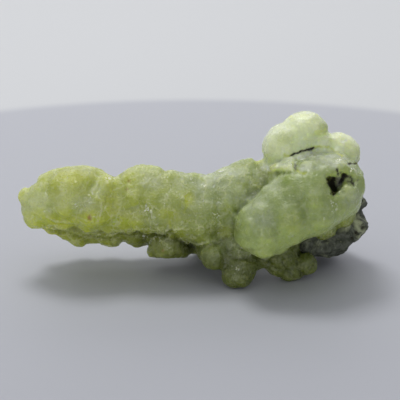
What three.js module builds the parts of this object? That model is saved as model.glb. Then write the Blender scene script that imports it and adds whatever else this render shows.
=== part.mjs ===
// Finger prehnite, a natural mineral specimen about 9 cm long: pale green botryoidal prehnite that grew as a
// long finger, a thinner finger behind it, a broken stub and one stubby finger with two crown lobes, all out
// of one mass, and the lump of dark basalt at the back on which it grew.
// Millimetres. +X runs along the long finger towards the mass, +Y towards the back, +Z up. The specimen lies
// on the plane Z = 0, on three lobes worn flat where they touch it.
import * as THREE from 'three';

// Facets
const PREHNITE_CELL = 1.8; // grid step of the prehnite's skin
const ROCK_CELL = 1.9; // grid step of the rock's skin
const RELAX_ROUNDS = 6; // rounds that even out the facets
const RELAX_SHARE = 0.5; // how far a round moves a corner towards the middle of its neighbours
const PROJECT_STEPS = 3; // steps that bring a corner of a facet back onto the form
const STEEPEST_STEP = 4; // limits such a step where the form's distance hardly changes
const SLOPE_STEP = 0.02; // reach over which a distance's slope is measured

// How the forms run into each other
const LIMB_BLEND = 1.0; // fillet where one limb meets the next
const BUD_BLEND = 0.5; // fillet round each small lump
const PIT_BLEND = 0.5; // rounding of a pit's lip
const CONTACT_GAP = 0.9; // the rock stays this far off the prehnite's form
const SKIN_INSET = 0.2; // the limbs lie this far inside, because the small lumps build them up again
const FLOOR_SNAP = 0.05; // corners up to this height are worn flat with the feet

// Limbs: balls [x, y, z, radius], each limb from its tip to its root
const longFinger = [
  [-41.8, 0.0, 17.0, 4.2],
  [-37.9, 0.0, 20.7, 7.0],
  [-30.8, 0.0, 21.0, 8.0],
  [-23.0, 0.0, 18.8, 7.0],
  [-15.6, 0.0, 20.5, 8.1],
  [-7.3, 0.0, 19.7, 8.1],
  [0.5, -0.6, 17.3, 8.5],
  [8.0, 1.6, 20.0, 8.0],
];
const rearFinger = [
  [-39.2, 6.0, 12.6, 2.9],
  [-35.6, 6.6, 11.4, 3.5],
  [-31.6, 7.0, 9.8, 4.5],
  [-28.4, 7.3, 9.9, 4.1],
  [-24.8, 7.5, 9.5, 4.6],
  [-20.6, 7.5, 9.9, 3.9],
  [-17.0, 7.5, 9.4, 4.6],
  [-8.5, 7.4, 9.2, 4.8],
  [-1.5, 8.5, 6.6, 4.7],
  [4.0, 8.5, 9.0, 5.5],
];
const brokenStub = [
  [-8.0, 1.8, 1.5, 5.2],
  [-8.0, 3.0, 13.0, 5.0],
];
// The flat break across the stub: its outward direction, and how far out it is from the middle of the frame
const stubFracture = { out: [0.0, -0.37, -0.93], at: -3.8 };
const trunk = [
  [5.3, -2.6, 9.0, 5.6],
  [6.0, 0.0, 13.6, 7.0],
  [12.0, 5.0, 21.8, 7.7],
  [14.4, 5.0, 14.2, 8.9],
  [22.5, 7.0, 17.3, 10.2],
  [27.5, 8.0, 17.0, 6.4],
];
const stubbyFinger = [
  [16.3, -11.0, 17.3, 7.6],
  [21.6, -9.4, 20.7, 8.6],
  [27.6, -6.8, 23.8, 10.2],
  [32.8, -3.6, 25.2, 9.5],
  [36.5, 0.0, 25.0, 5.4],
];
const crownLobe = [
  [26.7, 5.0, 37.9, 5.4],
  [23.2, 4.0, 33.2, 7.2],
  [22.5, 6.0, 24.0, 7.0],
];
const crownSideLobe = [
  [35.7, 5.0, 31.6, 5.5],
  [31.0, 4.5, 32.0, 5.0],
  [27.0, 5.0, 27.0, 6.0],
];
const rearLobes = [
  [8.0, 11.0, 15.0, 6.4],
  [15.0, 15.0, 18.0, 6.2],
  [13.4, 12.0, 21.2, 5.2],
  [17.0, 12.5, 18.0, 5.6],
  [25.0, 13.5, 24.0, 5.6],
];
const frontFoot = [
  [9.8, -8.5, 3.4, 4.3],
  [10.5, -4.0, 9.0, 5.0],
];
const rearFoot = [
  [2.0, 14.0, 3.5, 4.4],
  [6.5, 10.0, 10.0, 5.5],
];
const sideFoot = [
  [23.6, -3.6, 2.9, 3.8],
  [20.5, 0.5, 9.0, 5.4],
];

// The pale edge of a broken crust, where the stubby finger meets the crown
const ledge = [
  [19.6, -3.2, 28.5, 1.7],
  [25.4, -5.0, 30.6, 2.0],
];

// How strongly small lumps stand out of each limb's skin, from 0 to 1
const limbs = [
  { balls: longFinger, lumpiness: 0.65 },
  { balls: rearFinger, lumpiness: 0.6 },
  { balls: trunk, lumpiness: 0.7 },
  { balls: stubbyFinger, lumpiness: 0.35 },
  { balls: crownLobe, lumpiness: 0.3 },
  { balls: crownSideLobe, lumpiness: 0.3 },
  { balls: ledge, lumpiness: 0.2 },
  { balls: rearLobes, lumpiness: 1.0 },
  { balls: frontFoot, lumpiness: 0.4 },
  { balls: rearFoot, lumpiness: 0.6 },
  { balls: sideFoot, lumpiness: 0.4 },
];

// Lumps that show one by one: balls [x, y, z, radius]
const placedLumps = [
  [-45.0, -0.2, 21.6, 2.0],
  [-43.1, -0.2, 18.2, 3.3],
  [3.4, -7.2, 8.2, 3.9],
  [19.7, -4.2, 5.8, 3.8],
  [27.8, -3.6, 4.1, 3.0],
  [32.4, 1.4, 12.4, 3.8],
  [37.4, 2.6, 15.6, 3.8],
  [-27.5, -3.0, 20.0, 6.2],
  [-33.0, -2.0, 22.0, 7.0],
  [-15.0, 1.0, 23.0, 6.6],
  [-5.5, 0.5, 20.9, 7.3],
  [29.0, 3.5, 40.0, 3.1],
  [31.2, 3.0, 34.6, 3.4],
  [21.9, 1.5, 34.6, 4.6],
  [17.6, 1.0, 24.0, 5.0],
];

// The dark pit in the stubby finger: balls [x, y, z, radius], from its mouth inwards
const pitMain = [
  [34.4, -13.2, 30.2, 2.3],
  [34.6, -8.0, 28.2, 1.6],
];
const pitSide = [
  [37.6, -11.2, 31.4, 1.7],
  [37.2, -8.0, 30.0, 1.2],
];

// Small lumps scattered over the skin
const BUD_RADIUS = [2.6, 5.4]; // smallest and largest
const BUD_RISE = [0.22, 0.42]; // how far a lump stands out, as a share of its radius
const BUD_SPACING = 0.6; // least distance between two lumps, as a share of their radii together
const BUD_SEED = 11;
const BARE_LUMP = 3.5; // placed lumps smaller than this carry no small lumps
const BUD_TRIES = 0.6; // tries for each square millimetre of a limb's section along its length
const BUD_SMALLNESS = 1.5; // over 1, small lumps are more common than large ones

// The rock: flat broken faces round a centre, each an outward direction and a distance
const ROCK_CENTRE = [33.0, 7.5, 13.5];
const rockFaces = [
  { out: [1.0, -0.1, 0.1], at: 9.6 },
  { out: [0.75, -0.3, -0.75], at: 10.6 },
  { out: [0.1, -0.25, -1.0], at: 11.2 },
  { out: [0.1, -0.6, -0.8], at: 10.6 },
  { out: [-0.6, 0.2, -0.8], at: 12.6 },
  { out: [-0.3, 1.0, -0.25], at: 8.6 },
  { out: [0.5, 0.9, 0.15], at: 8.8 },
  { out: [-0.15, 0.75, 0.8], at: 10.6 },
  { out: [0.75, 0.3, 0.8], at: 11.8 },
  { out: [0.15, -1.0, -0.3], at: 9.2 },
  { out: [-1.0, 0.2, 0.3], at: 11.5 },
  { out: [0.9, 0.6, -0.35], at: 9.4 },
  { out: [0.0, -0.3, 1.0], at: 12.0 },
];
const rockKnobs = [
  [41.8, 1.5, 18.6, 2.2],
  [41.0, 6.0, 25.0, 2.2],
  [40.7, 3.2, 12.6, 3.0],
];
const ROCK_ROUNDING = 1.0; // fillet along the broken edges
const ROCK_ROUGH = 0.75; // height of the coarse roughness
const ROCK_ROUGH_SIZE = 4.2; // width of its bumps

// Distances

function smoothMin(a, b, fillet) {
  const overlap = Math.max(fillet - Math.abs(a - b), 0) / fillet;
  return Math.min(a, b) - (overlap * overlap * fillet) / 4;
}

function smoothMax(a, b, fillet) {
  return -smoothMin(-a, -b, fillet);
}

function ballDistance(ball, px, py, pz) {
  const [dx, dy, dz] = [px - ball[0], py - ball[1], pz - ball[2]];
  return Math.sqrt(dx * dx + dy * dy + dz * dz) - ball[3];
}

// A limb is swept by a ball that grows and shrinks from each listed ball to the next.
function limbDistance(balls, px, py, pz) {
  let nearest = Infinity;
  for (let i = 0; i + 1 < balls.length; i++) {
    const [a, b] = [balls[i], balls[i + 1]];
    const [dx, dy, dz] = [b[0] - a[0], b[1] - a[1], b[2] - a[2]];
    const [qx, qy, qz] = [px - a[0], py - a[1], pz - a[2]];
    const along = (qx * dx + qy * dy + qz * dz) / (dx * dx + dy * dy + dz * dz);
    const t = Math.min(Math.max(along, 0), 1);
    const [gx, gy, gz] = [qx - t * dx, qy - t * dy, qz - t * dz];
    nearest = Math.min(nearest, Math.sqrt(gx * gx + gy * gy + gz * gz) - a[3] - t * (b[3] - a[3]));
  }
  return nearest;
}

function stubDistance(px, py, pz) {
  const { out, at } = stubFracture;
  return Math.max(limbDistance(brokenStub, px, py, pz), px * out[0] + py * out[1] + pz * out[2] - at);
}

// A ball round a whole limb, which tells early that the limb is too far away to matter.
function hullOf(balls) {
  const centre = balls.reduce((sum, ball) => sum.add(new THREE.Vector3(...ball)), new THREE.Vector3());
  centre.divideScalar(balls.length);
  const reach = balls.map((ball) => centre.distanceTo(new THREE.Vector3(...ball)) + ball[3]);
  return [...centre.toArray(), Math.max(...reach)];
}

const limbHulls = limbs.map(({ balls }) => hullOf(balls));

function massDistance(px, py, pz) {
  let distance = stubDistance(px, py, pz);
  for (const lump of placedLumps) distance = smoothMin(distance, ballDistance(lump, px, py, pz), LIMB_BLEND);
  limbs.forEach(({ balls }, i) => {
    if (ballDistance(limbHulls[i], px, py, pz) > distance + LIMB_BLEND) return;
    distance = smoothMin(distance, limbDistance(balls, px, py, pz), LIMB_BLEND);
  });
  return distance + SKIN_INSET;
}

function prehniteDistance(px, py, pz) {
  let distance = massDistance(px, py, pz);
  for (const bud of buds) {
    const toBud = ballDistance(bud, px, py, pz);
    if (toBud < distance + BUD_BLEND) distance = smoothMin(distance, toBud, BUD_BLEND);
  }
  distance = smoothMax(distance, -limbDistance(pitMain, px, py, pz), PIT_BLEND);
  return smoothMax(distance, -limbDistance(pitSide, px, py, pz), PIT_BLEND);
}

function rockDistance(px, py, pz) {
  let distance = -Infinity;
  const [dx, dy, dz] = [px - ROCK_CENTRE[0], py - ROCK_CENTRE[1], pz - ROCK_CENTRE[2]];
  for (const { out, at } of rockFaces) {
    const length = Math.sqrt(out[0] ** 2 + out[1] ** 2 + out[2] ** 2);
    const reach = (dx * out[0] + dy * out[1] + dz * out[2]) / length;
    distance = smoothMax(distance, reach - at, ROCK_ROUNDING);
  }
  for (const knob of rockKnobs) {
    distance = smoothMin(distance, ballDistance(knob, px, py, pz), ROCK_ROUNDING);
  }
  distance += ROCK_ROUGH * valueNoise(px / ROCK_ROUGH_SIZE, py / ROCK_ROUGH_SIZE, pz / ROCK_ROUGH_SIZE);
  return Math.max(distance, CONTACT_GAP - prehniteDistance(px, py, pz));
}

// Randomness that is the same on each run

function seededRandom(seed) {
  let state = seed;
  return () => {
    state = (state + 0x6d2b79f5) | 0;
    let t = Math.imul(state ^ (state >>> 15), 1 | state);
    t = (t + Math.imul(t ^ (t >>> 7), 61 | t)) ^ t;
    return ((t ^ (t >>> 14)) >>> 0) / 2 ** 32;
  };
}

// A fixed value from -1 to 1 for each point of a whole-number lattice, from large primes that mix the bits.
function latticeValue(i, j, k) {
  let mixed = Math.imul(i, 374761393) ^ Math.imul(j, 668265263) ^ Math.imul(k, 2147483647);
  mixed = Math.imul(mixed ^ (mixed >>> 13), 1274126177);
  return ((mixed ^ (mixed >>> 16)) >>> 0) / 2 ** 31 - 1;
}

// Smooth noise from -1 to 1 with bumps about one unit wide.
function valueNoise(x, y, z) {
  const [i, j, k] = [Math.floor(x), Math.floor(y), Math.floor(z)];
  const [u, v, w] = [x - i, y - j, z - k].map((t) => t * t * (3 - 2 * t));
  let sum = 0;
  for (const [di, wi] of [[0, 1 - u], [1, u]]) {
    for (const [dj, wj] of [[0, 1 - v], [1, v]]) {
      for (const [dk, wk] of [[0, 1 - w], [1, w]]) sum += wi * wj * wk * latticeValue(i + di, j + dj, k + dk);
    }
  }
  return sum;
}

function gradient(field, x, y, z) {
  const step = SLOPE_STEP;
  return new THREE.Vector3(
    field(x + step, y, z) - field(x - step, y, z),
    field(x, y + step, z) - field(x, y - step, z),
    field(x, y, z + step) - field(x, y, z - step),
  ).divideScalar(2 * step);
}

// Small lumps of one limb: from a random point inside it, a way out in a random direction to the mass's skin,
// and a ball sunk there so that only its cap shows. A lump that would crowd an earlier one is dropped.
function scatterBuds({ balls, lumpiness }, seed, found) {
  const farOut = 30; // beyond the skin of any limb, from a point inside it
  const closeEnough = 0.02;
  const mostSteps = 60;
  const random = seededRandom(seed);
  const spans = balls.slice(1).map((ball, i) => [balls[i], ball]);
  const areas = spans.map(([from, to]) => {
    return new THREE.Vector3(...from).distanceTo(new THREE.Vector3(...to)) * (from[3] + to[3]);
  });
  const total = areas.reduce((sum, area) => sum + area, 0);
  for (let tries = Math.round(total * BUD_TRIES); tries > 0; tries--) {
    let pick = random() * total;
    const span = spans.find((_, i) => (pick -= areas[i]) <= 0) ?? spans[0];
    const point = new THREE.Vector3(...span[0]).lerp(new THREE.Vector3(...span[1]), random());
    const [tilt, turn] = [Math.acos(2 * random() - 1), 2 * Math.PI * random()];
    const direction = new THREE.Vector3().setFromSphericalCoords(1, tilt, turn);
    const radius = THREE.MathUtils.lerp(...BUD_RADIUS, random() ** BUD_SMALLNESS);
    const rise = radius * THREE.MathUtils.lerp(...BUD_RISE, random()) * lumpiness;
    point.addScaledVector(direction, farOut);
    for (let step = 0; step < mostSteps; step++) {
      const distance = massDistance(point.x, point.y, point.z);
      if (Math.abs(distance) < closeEnough) break;
      point.addScaledVector(direction, -distance);
    }
    const out = gradient(massDistance, point.x, point.y, point.z).normalize();
    const centre = point.addScaledVector(out, rise - radius);
    const crowded = found.some(([x, y, z, r]) => {
      return Math.hypot(centre.x - x, centre.y - y, centre.z - z) < (radius + r) * BUD_SPACING;
    });
    const belowFloor = centre.z - radius < 0;
    const onStub = stubDistance(centre.x, centre.y, centre.z) < radius;
    const onSmallLump = placedLumps.some((lump) => {
      return lump[3] < BARE_LUMP && ballDistance(lump, centre.x, centre.y, centre.z) < radius;
    });
    if (crowded || belowFloor || onStub || onSmallLump) continue;
    found.push([centre.x, centre.y, centre.z, radius]);
  }
}

// Skin of a form: one corner of a facet in each grid cell that the form's surface crosses, and one square,
// cut in two, for each grid edge that it crosses.
function skinOf(field, low, high, cell) {
  const size = low.map((value, i) => Math.ceil((high[i] - value) / cell) + 1);
  const [nx, ny, nz] = size;
  const at = (i, j, k) => (k * ny + j) * nx + i;
  const values = new Float64Array(nx * ny * nz);
  for (let k = 0; k < nz; k++) {
    for (let j = 0; j < ny; j++) {
      for (let i = 0; i < nx; i++) {
        values[at(i, j, k)] = field(low[0] + i * cell, low[1] + j * cell, low[2] + k * cell);
      }
    }
  }
  const corners = [0, 1, 2, 3, 4, 5, 6, 7].map((c) => [c & 1, (c >> 1) & 1, (c >> 2) & 1]);
  const cellEdges = [];
  for (let a = 0; a < 8; a++) {
    for (const bit of [1, 2, 4]) if (!(a & bit)) cellEdges.push([a, a | bit]);
  }
  keepOneBody(values, size, at, cell);
  const pinned = fillDoubtfulCells(values, size, at, corners, cellEdges, cell);
  keepOneBody(values, size, at, cell);
  const vertexOf = new Map();
  const vertices = [];
  const locked = [];
  forEachCell(size, (i, j, k) => {
    const v = corners.map(([a, b, c]) => values[at(i + a, j + b, k + c)]);
    if (v.every((x) => x < 0) || v.every((x) => x >= 0)) return;
    const middle = new THREE.Vector3();
    let crossings = 0;
    for (const [a, b] of cellEdges) {
      if (v[a] < 0 === v[b] < 0) continue;
      const t = v[a] / (v[a] - v[b]);
      middle.add(new THREE.Vector3(...corners[a]).lerp(new THREE.Vector3(...corners[b]), t));
      crossings++;
    }
    middle.divideScalar(crossings).add(new THREE.Vector3(i, j, k)).multiplyScalar(cell);
    vertexOf.set(at(i, j, k), vertices.length);
    vertices.push(middle.add(new THREE.Vector3(...low)));
    locked.push(pinned.has(at(i, j, k)));
  });
  const quads = [];
  const steps = [[1, 0, 0], [0, 1, 0], [0, 0, 1]];
  forEachCell(size, (i, j, k) => {
    steps.forEach(([di, dj, dk], axis) => {
      const here = values[at(i, j, k)] < 0;
      const next = values[at(i + di, j + dj, k + dk)] < 0;
      if (here === next) return;
      const [u, w] = [steps[(axis + 1) % 3], steps[(axis + 2) % 3]];
      const ring = [[0, 0], [1, 0], [1, 1], [0, 1]].map(([m, n]) => {
        return vertexOf.get(at(i - m * u[0] - n * w[0], j - m * u[1] - n * w[1], k - m * u[2] - n * w[2]));
      });
      quads.push(here ? ring : ring.reverse());
    });
  });
  settle(vertices, quads, locked, field, cell);
  return facetGeometry(vertices, quads);
}

function forEachCell([nx, ny, nz], visit) {
  for (let k = 0; k + 1 < nz; k++) {
    for (let j = 0; j + 1 < ny; j++) {
      for (let i = 0; i + 1 < nx; i++) visit(i, j, k);
    }
  }
}

// Grid points joined to the given one, step by step, on its side of the surface.
function regionFrom(start, values, [nx, ny, nz], at) {
  const side = values[start] < 0;
  const region = new Set([start]);
  const waiting = [start];
  while (waiting.length) {
    const n = waiting.pop();
    const [i, j, k] = [n % nx, Math.floor(n / nx) % ny, Math.floor(n / (nx * ny))];
    const beside = [];
    if (i > 0) beside.push(n - 1);
    if (i + 1 < nx) beside.push(n + 1);
    if (j > 0) beside.push(n - at(0, 1, 0));
    if (j + 1 < ny) beside.push(n + at(0, 1, 0));
    if (k > 0) beside.push(n - at(0, 0, 1));
    if (k + 1 < nz) beside.push(n + at(0, 0, 1));
    for (const m of beside) {
      if (values[m] < 0 !== side || region.has(m)) continue;
      region.add(m);
      waiting.push(m);
    }
  }
  return region;
}

// Pockets sealed inside the form are filled, and crumbs that stand apart from it are dropped.
function keepOneBody(values, size, at, cell) {
  const outside = regionFrom(0, values, size, at);
  values.forEach((value, n) => {
    if (value >= 0 && !outside.has(n)) values[n] = -cell;
  });
  const bodies = [];
  values.forEach((value, n) => {
    if (value < 0 && !bodies.some((body) => body.has(n))) bodies.push(regionFrom(n, values, size, at));
  });
  bodies.sort((a, b) => b.size - a.size);
  for (const crumb of bodies.slice(1)) for (const n of crumb) values[n] = cell;
}

// A cell whose inside or outside corners fall into two groups would pinch the skin, so one corner is filled
// until no such cell is left.
function fillDoubtfulCells(values, size, at, corners, cellEdges, cell) {
  const justInside = -0.05 * cell;
  const touched = new Set();
  for (let changed = true; changed; ) {
    changed = false;
    forEachCell(size, (i, j, k) => {
      const indices = corners.map(([a, b, c]) => at(i + a, j + b, k + c));
      const inside = indices.map((n) => values[n] < 0);
      if (inside.every((value) => value === inside[0])) return;
      if (groupCount(inside, true, cellEdges) < 2 && groupCount(inside, false, cellEdges) < 2) return;
      const outside = indices.filter((n) => values[n] >= 0).sort((a, b) => values[a] - values[b]);
      values[outside[0]] = justInside;
      const around = [0, -1];
      for (const a of around) {
        for (const b of around) {
          for (const c of around) touched.add(outside[0] + at(a, b, c));
        }
      }
      changed = true;
    });
  }
  return touched;
}

function groupCount(inside, wanted, cellEdges) {
  const group = inside.map((value, n) => (value === wanted ? n : -1));
  for (let round = 0; round < 8; round++) {
    for (const [a, b] of cellEdges) {
      if (group[a] >= 0 && group[b] >= 0) group[a] = group[b] = Math.min(group[a], group[b]);
    }
  }
  return new Set(group.filter((n) => n >= 0)).size;
}

// Evens out the facets: each corner moves towards the middle of its neighbours, then back onto the form.
function settle(vertices, quads, locked, field, cell) {
  const longestMove = cell / 3;
  const neighbours = vertices.map(() => new Set());
  for (const quad of quads) {
    quad.forEach((n, i) => {
      neighbours[n].add(quad[(i + 1) % 4]);
      neighbours[quad[(i + 1) % 4]].add(n);
    });
  }
  for (let round = 0; round <= RELAX_ROUNDS; round++) {
    const before = vertices.map((vertex) => vertex.clone());
    vertices.forEach((vertex, n) => {
      if (locked[n]) return;
      if (round < RELAX_ROUNDS) {
        const middle = new THREE.Vector3();
        for (const m of neighbours[n]) middle.add(before[m]);
        vertex.lerp(middle.divideScalar(neighbours[n].size), RELAX_SHARE);
      }
      for (let step = 0; step < PROJECT_STEPS; step++) {
        const slope = gradient(field, vertex.x, vertex.y, vertex.z);
        const share = field(vertex.x, vertex.y, vertex.z) / Math.max(slope.lengthSq(), 1 / STEEPEST_STEP);
        vertex.addScaledVector(slope, -THREE.MathUtils.clamp(share, -longestMove, longestMove));
      }
    });
  }
}

function facetGeometry(vertices, quads) {
  const triangles = [];
  for (const [a, b, c, d] of quads) {
    const short = vertices[a].distanceToSquared(vertices[c]) < vertices[b].distanceToSquared(vertices[d]);
    triangles.push(...(short ? [a, b, c, a, c, d] : [a, b, d, b, c, d]));
  }
  const places = vertices.flatMap((vertex) => vertex.toArray());
  const geometry = new THREE.BufferGeometry();
  geometry.setAttribute('position', new THREE.Float32BufferAttribute(places, 3));
  geometry.setIndex(triangles);
  return geometry;
}

// The lobes that carry the specimen are worn flat at the plane that it lies on.
function wearFeetFlat(geometry) {
  const position = geometry.getAttribute('position');
  for (let n = 0; n < position.count; n++) {
    if (position.getZ(n) < FLOOR_SNAP) position.setZ(n, 0);
  }
  return geometry;
}

const prehniteMaterial = new THREE.MeshStandardMaterial({ color: 0xaab777, roughness: 0.38, metalness: 0 });
const rockMaterial = new THREE.MeshStandardMaterial({ color: 0x4c4f46, roughness: 0.9, metalness: 0 });

const buds = [];
limbs.forEach((limb, n) => scatterBuds(limb, BUD_SEED + n, buds));
const prehniteSkin = wearFeetFlat(skinOf(prehniteDistance, [-50, -21, -3], [47, 25, 48], PREHNITE_CELL));
const rockSkin = skinOf(rockDistance, [16, -9, -2], [50, 25, 34], ROCK_CELL);

const prehnite = new THREE.Mesh(prehniteSkin, prehniteMaterial);
prehnite.name = 'prehnite';
const hostRock = new THREE.Mesh(rockSkin, rockMaterial);
hostRock.name = 'host_rock';

const specimen = new THREE.Group();
specimen.name = 'finger_prehnite';
specimen.add(prehnite, hostRock);

// The frame's origin is the middle of the footprint of the whole specimen.
const extent = new THREE.Box3().setFromObject(specimen);
const middle = extent.getCenter(new THREE.Vector3());
for (const piece of specimen.children) piece.position.set(-middle.x, -middle.y, -extent.min.z);

export default specimen;
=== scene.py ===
"""Looks of the finger prehnite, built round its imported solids.

Measures are in metres, except where a name or comment says millimetres or pixels.
"""

import math

import bpy
import numpy as np
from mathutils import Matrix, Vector, noise
from mathutils.bvhtree import BVHTree


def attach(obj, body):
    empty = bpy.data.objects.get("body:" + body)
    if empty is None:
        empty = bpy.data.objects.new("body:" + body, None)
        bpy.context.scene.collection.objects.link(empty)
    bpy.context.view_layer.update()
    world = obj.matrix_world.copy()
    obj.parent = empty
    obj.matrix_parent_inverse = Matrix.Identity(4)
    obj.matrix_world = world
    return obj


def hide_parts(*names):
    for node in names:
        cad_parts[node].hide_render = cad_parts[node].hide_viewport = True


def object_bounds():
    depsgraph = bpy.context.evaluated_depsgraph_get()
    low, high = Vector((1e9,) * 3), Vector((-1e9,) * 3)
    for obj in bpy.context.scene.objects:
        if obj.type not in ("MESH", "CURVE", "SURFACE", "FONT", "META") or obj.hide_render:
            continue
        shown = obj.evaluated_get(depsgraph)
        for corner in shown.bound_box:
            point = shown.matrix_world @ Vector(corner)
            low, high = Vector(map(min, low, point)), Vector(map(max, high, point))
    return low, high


MM = 0.001

# Camera: the photograph's viewing angle
FRAME_PX = 400
SENSOR_MM = 36.0
LENS_MM = 173.25
CAMERA_ELEVATION = math.radians(22)
CAMERA_DISTANCE = 0.5
CAMERA_TARGET = Vector((0.00187, -0.00103, 0.0205))

# Limbs, as chains of balls (x, y, z, radius) in millimetres
LONG_FINGER = [
    (-39.9, -1.0, 17.0, 4.2), (-36.0, -1.0, 20.7, 7.0), (-28.9, -1.0, 21.0, 8.0), (-21.1, -1.0, 18.8, 7.0),
    (-13.7, -1.0, 20.5, 8.1), (-5.4, -1.0, 19.7, 8.1), (2.4, -1.6, 17.3, 8.5),
]
REAR_FINGER = [(-37.3, 5.0, 12.6, 2.9), (-29.7, 6.0, 9.8, 4.5), (-15.1, 6.5, 9.4, 4.6), (0.4, 7.5, 6.6, 4.7)]
BROKEN_STUB = [(-6.1, 0.8, 1.5, 5.2), (-6.1, 2.0, 13.0, 5.0)]
# The stub ends in a flat break: its outward direction, and how far out along that it lies, in millimetres
STUB_BREAK_OUT = (0.0, -0.37, -0.93)
STUB_BREAK_AT = -3.42
STUBBY_FINGER = [
    (18.2, -12.0, 17.3, 7.6), (23.5, -10.4, 20.7, 8.6), (29.5, -7.8, 23.8, 10.2), (34.7, -4.6, 25.2, 9.5),
]
CROWN_LOBE = [(28.6, 4.0, 37.9, 5.4), (25.1, 3.0, 33.2, 7.2)]
SIDE_LOBE = [(37.6, 4.0, 31.6, 5.5), (32.9, 3.5, 32.0, 5.0)]

# Fineness of the meshes
PREHNITE_VOXEL_MM = 0.38
ROCK_VOXEL_MM = 0.4

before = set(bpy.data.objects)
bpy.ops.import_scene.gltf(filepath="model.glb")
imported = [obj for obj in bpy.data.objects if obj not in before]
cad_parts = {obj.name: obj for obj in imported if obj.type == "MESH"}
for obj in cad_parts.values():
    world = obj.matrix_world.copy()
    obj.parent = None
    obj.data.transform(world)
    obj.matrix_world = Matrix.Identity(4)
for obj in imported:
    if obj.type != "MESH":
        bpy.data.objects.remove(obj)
cad_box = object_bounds()


# Camera

def make_camera():
    back = Vector((0, -math.cos(CAMERA_ELEVATION), math.sin(CAMERA_ELEVATION)))
    data = bpy.data.cameras.new("camera")
    data.sensor_width = SENSOR_MM
    data.lens = LENS_MM
    camera = bpy.data.objects.new("camera", data)
    camera.location = CAMERA_TARGET + back * CAMERA_DISTANCE
    camera.rotation_mode = "QUATERNION"
    camera.rotation_quaternion = (-back).to_track_quat("-Z", "Y")
    bpy.context.scene.collection.objects.link(camera)
    bpy.context.scene.camera = camera
    return camera


camera = make_camera()
view_turn = camera.rotation_quaternion.to_matrix()
view_right, view_up, view_back = (np.array(view_turn.col[i]) for i in range(3))
view_place = np.array(camera.location)


def pixels_of(points):
    """Where points land in the photograph's frame."""
    offset = points - view_place
    focal_px = LENS_MM / SENSOR_MM * FRAME_PX
    depth = -(offset @ view_back)
    across = FRAME_PX / 2 + focal_px * (offset @ view_right) / depth
    down = FRAME_PX / 2 - focal_px * (offset @ view_up) / depth
    return np.stack([across, down], 1)


# Mesh arrays

def points_of(mesh):
    flat = np.empty(len(mesh.vertices) * 3, np.float32)
    mesh.vertices.foreach_get("co", flat)
    return flat.reshape(-1, 3).astype(float)


def set_points(mesh, points):
    mesh.vertices.foreach_set("co", points.astype(np.float32).ravel())
    mesh.update()


def normals_of(mesh):
    flat = np.empty(len(mesh.vertices) * 3, np.float32)
    mesh.vertex_normals.foreach_get("vector", flat)
    return flat.reshape(-1, 3).astype(float)


def edges_of(mesh):
    flat = np.empty(len(mesh.edges) * 2, np.int32)
    mesh.edges.foreach_get("vertices", flat)
    return flat.reshape(-1, 2)


def neighbour_mean(values, edges):
    values = values.reshape(len(values), -1)
    total = np.zeros_like(values)
    for here, there in ((0, 1), (1, 0)):
        for axis in range(values.shape[1]):
            total[:, axis] += np.bincount(edges[:, here], values[edges[:, there], axis], len(values))
    return total / np.bincount(edges.ravel(), minlength=len(values))[:, None]


def smoothed(points, edges, rounds):
    """Evens out facets, and undoes the shrinking after each round."""
    for _ in range(rounds):
        for share in (0.5, -0.51):
            points = points + share * (neighbour_mean(points, edges) - points)
    return points


def remesh(piece, voxel_mm):
    modifier = piece.modifiers.new("remesh", "REMESH")
    modifier.mode = "VOXEL"
    modifier.voxel_size = voxel_mm * MM
    old = piece.data
    evaluated = piece.evaluated_get(bpy.context.evaluated_depsgraph_get())
    piece.data = bpy.data.meshes.new_from_object(evaluated)
    piece.modifiers.clear()
    bpy.data.meshes.remove(old)


def fine_copy(node, name, voxel_mm):
    """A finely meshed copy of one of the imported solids."""
    piece = bpy.data.objects.new(name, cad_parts[node].data.copy())
    bpy.context.scene.collection.objects.link(piece)
    piece.data.materials.clear()
    remesh(piece, voxel_mm)
    return piece


def attribute(mesh, name, values):
    """Stores a value from 0 to 1 at each vertex, for the material to read."""
    data = mesh.attributes.new(name, "FLOAT", "POINT").data
    data.foreach_set("value", np.clip(values, 0, 1).astype(np.float32))


# Noise

def perlin(points, width_mm, octaves=1):
    """Smooth noise, about -1 to 1, with bumps about that wide."""
    octave_shift = 17.3
    total = np.zeros(len(points))
    for octave in range(octaves):
        scaled = points / (width_mm * MM / 2**octave) + octave_shift * octave
        total += np.array([noise.noise(p) for p in scaled.tolist()]) / 2**octave
    return total


def domes(points, width_mm, shift):
    """Heights of round lumps packed about that far apart, with creases below 0 between them."""
    top, reach = 0.45, 0.75
    scaled = points / (width_mm * MM) + shift
    nearest = np.array([noise.voronoi(p)[0][0] for p in scaled.tolist()])
    return top - (nearest / reach) ** 2


def crystal_faces(points, width_mm, shift):
    """Heights of flat faces about that wide, each leaning its own way, from about -0.3 to 0.3."""
    scrambling = 57.3
    half = Vector((0.5, 0.5, 0.5))
    heights = []
    for place in (points / (width_mm * MM) + shift).tolist():
        centre = noise.voronoi(place)[1][0]
        lean = noise.cell_vector(centre * scrambling) - half
        heights.append((Vector(place) - centre).dot(lean))
    return np.array(heights)


def step(low, high, values):
    """Goes smoothly from 0 at low to 1 at high; low may be the greater of the two."""
    share = np.clip((values - low) / (high - low), 0, 1)
    return share * share * (3 - 2 * share)


# Features placed by where they show in the photograph

def line_distance(pixels, line):
    """Distance in pixels from each point to a line of pixel points."""
    nearest = np.full(len(pixels), np.inf)
    for start, end in zip(line, line[1:]):
        start, along = np.array(start, float), np.array(end, float) - start
        share = np.clip((pixels - start) @ along / (along @ along), 0, 1)
        nearest = np.minimum(nearest, np.linalg.norm(pixels - start - share[:, None] * along, axis=1))
    return nearest


def near_lines(pixels, lines, edge_px, middle_px, ragged=0.0):
    """1 within middle_px of any of the lines, falling to 0 at edge_px."""
    shares = [step(edge_px, middle_px, line_distance(pixels, line) - ragged) for line in lines]
    return np.max(shares, axis=0)


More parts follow.
